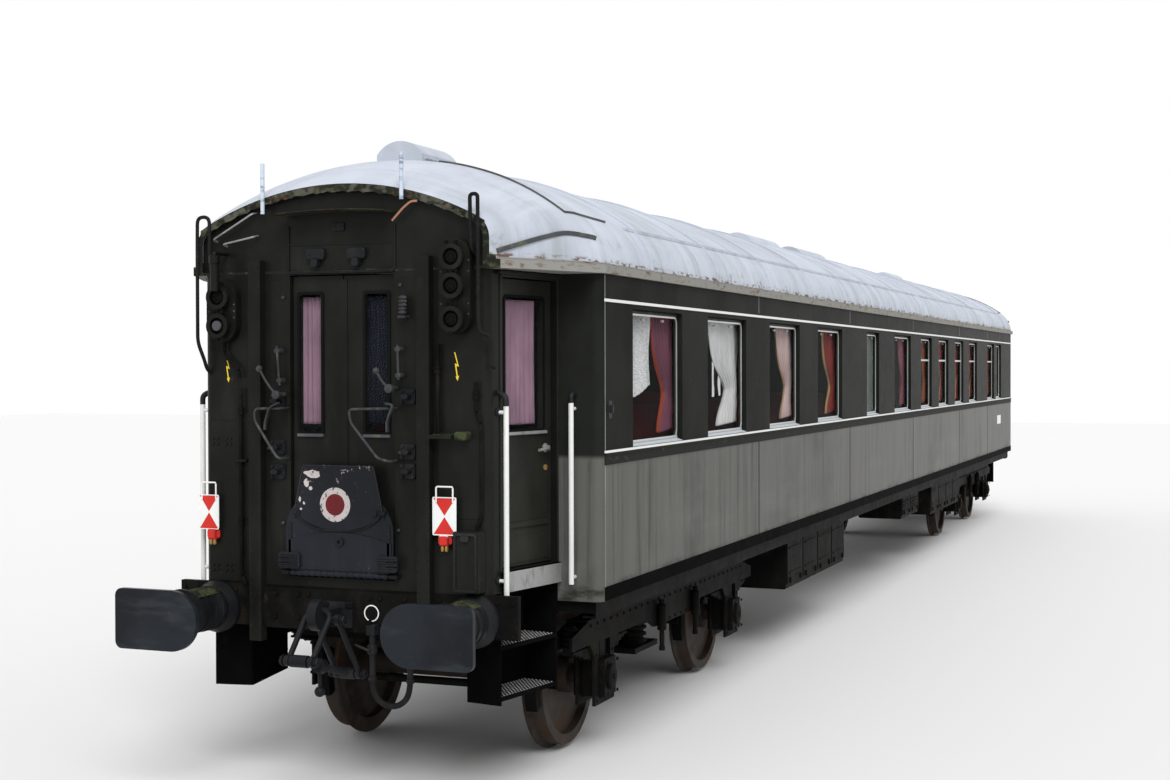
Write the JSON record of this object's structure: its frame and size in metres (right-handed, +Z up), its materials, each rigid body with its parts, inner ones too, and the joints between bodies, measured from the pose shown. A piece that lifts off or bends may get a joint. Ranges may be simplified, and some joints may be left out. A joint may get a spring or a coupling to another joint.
{
  "type": "passenger coach",
  "caption": "Vintage steel saloon coach on two bogies with tapered entrance ends, folded bridge plates and a barrel roof.",
  "frame": {"origin": "middle of the coach at the level of the wheel flange tips", "axes": "+X along the coach towards the end without tail boards, +Y towards the corridor side, +Z up"},
  "size_m": [22.6, 2.836, 4.085],
  "materials": {
    "body_paint": "aged gloss olive green",
    "roof_paint": "weathered pale grey",
    "stripe_white": "white line paint",
    "chassis_black": "dusty black",
    "dark_steel": "oily dark steel",
    "wheel_steel": "worn steel with rust",
    "window_metal": "satin",
    "window_glass": "clear",
    "rail_white": "white gloss",
    "board_white": "enamel",
    "hose_rubber": "matt",
    "floor_board": "worn linoleum",
    "panel_wood": "varnished",
    "seat_cloth": "woven"
  },
  "bodies": {
    "coach": {"side_walls": "body_paint", "end_walls": "body_paint", "gangway_posts": "dark_steel", "side_mouldings": "stripe_white", "window_frames": "window_metal", "window_panes": "window_glass", "roof": "roof_paint", "floor": "floor_board", "underframe": "chassis_black", "door_hinges": "dark_steel", "rain_hoods": "roof_paint", "buffer_barrels": "dark_steel", "buffer_heads": "dark_steel", "draw_gear": "dark_steel", "brake_hose_near": "hose_rubber", "brake_hose_far": "hose_rubber", "entrance_steps": "chassis_black", "handrails": "rail_white", "roof_ventilators": "roof_paint", "jumper_boxes": "body_paint", "tail_boards": "board_white", "partitions": "panel_wood", "tables": "panel_wood", "seats": "seat_cloth", "underfloor_boxes": "chassis_black"},
    "entrance_door_a": {"entrance_door_a": "body_paint"},
    "entrance_door_b": {"entrance_door_b": "body_paint"},
    "entrance_door_c": {"entrance_door_c": "body_paint"},
    "entrance_door_d": {"entrance_door_d": "body_paint"},
    "gangway_door_a": {"gangway_door_a": "body_paint"},
    "gangway_door_b": {"gangway_door_b": "body_paint"},
    "gangway_door_c": {"gangway_door_c": "body_paint"},
    "gangway_door_d": {"gangway_door_d": "body_paint"},
    "bridge_plate_near": {"bridge_plate_near": "chassis_black"},
    "bogie_near": {"bogie_frame_near": "chassis_black", "axle_gear_near": "chassis_black", "brake_gear_near": "dark_steel"},
    "bridge_plate_far": {"bridge_plate_far": "chassis_black"},
    "bogie_far": {"bogie_frame_far": "chassis_black", "axle_gear_far": "chassis_black", "brake_gear_far": "dark_steel"},
    "wheelset_a": {"wheelset_a": "wheel_steel"},
    "wheelset_b": {"wheelset_b": "wheel_steel"},
    "wheelset_c": {"wheelset_c": "wheel_steel"},
    "wheelset_d": {"wheelset_d": "wheel_steel"}
  },
  "joints": [
    {"name": "entrance_door_a_hinge", "type": "hinge", "parent": "coach", "child": "entrance_door_a", "pos_m": [-10.5192, -0.8978, 1.6], "axis": [0, 0, 1], "range_deg": [0, 78]},
    {"name": "entrance_door_b_hinge", "type": "hinge", "parent": "coach", "child": "entrance_door_b", "pos_m": [-10.5192, 0.8978, 1.6], "axis": [0, 0, -1], "range_deg": [0, 78]},
    {"name": "entrance_door_c_hinge", "type": "hinge", "parent": "coach", "child": "entrance_door_c", "pos_m": [10.5192, -0.8978, 1.6], "axis": [0, 0, -1], "range_deg": [0, 78]},
    {"name": "entrance_door_d_hinge", "type": "hinge", "parent": "coach", "child": "entrance_door_d", "pos_m": [10.5192, 0.8978, 1.6], "axis": [0, 0, 1], "range_deg": [0, 78]},
    {"name": "gangway_door_a_hinge", "type": "hinge", "parent": "coach", "child": "gangway_door_a", "pos_m": [-10.59, -0.358, 1.6], "axis": [0, 0, -1], "range_deg": [0, 85]},
    {"name": "gangway_door_b_hinge", "type": "hinge", "parent": "coach", "child": "gangway_door_b", "pos_m": [-10.59, 0.358, 1.6], "axis": [0, 0, 1], "range_deg": [0, 85]},
    {"name": "gangway_door_c_hinge", "type": "hinge", "parent": "coach", "child": "gangway_door_c", "pos_m": [10.59, -0.358, 1.6], "axis": [0, 0, 1], "range_deg": [0, 85]},
    {"name": "gangway_door_d_hinge", "type": "hinge", "parent": "coach", "child": "gangway_door_d", "pos_m": [10.59, 0.358, 1.6], "axis": [0, 0, -1], "range_deg": [0, 85]},
    {"name": "bridge_plate_near_hinge", "type": "hinge", "parent": "coach", "child": "bridge_plate_near", "pos_m": [-10.697, 0, 1.325], "axis": [0, -1, 0], "range_deg": [0, 88]},
    {"name": "bogie_near_pivot", "type": "hinge", "parent": "coach", "child": "bogie_near", "pos_m": [-7.55, 0, 1.045], "axis": [0, 0, 1], "range_deg": [-4, 4]},
    {"name": "bridge_plate_far_hinge", "type": "hinge", "parent": "coach", "child": "bridge_plate_far", "pos_m": [10.697, 0, 1.325], "axis": [0, 1, 0], "range_deg": [0, 88]},
    {"name": "bogie_far_pivot", "type": "hinge", "parent": "coach", "child": "bogie_far", "pos_m": [7.55, 0, 1.045], "axis": [0, 0, 1], "range_deg": [-4, 4]},
    {"name": "wheelset_a_spin", "type": "hinge", "parent": "bogie_near", "child": "wheelset_a", "pos_m": [-9.05, 0, 0.505], "axis": [0, 1, 0], "continuous": true},
    {"name": "wheelset_b_spin", "type": "hinge", "parent": "bogie_near", "child": "wheelset_b", "pos_m": [-6.05, 0, 0.505], "axis": [0, 1, 0], "continuous": true},
    {"name": "wheelset_c_spin", "type": "hinge", "parent": "bogie_far", "child": "wheelset_c", "pos_m": [6.05, 0, 0.505], "axis": [0, 1, 0], "continuous": true},
    {"name": "wheelset_d_spin", "type": "hinge", "parent": "bogie_far", "child": "wheelset_d", "pos_m": [9.05, 0, 0.505], "axis": [0, 1, 0], "continuous": true}
  ]
}
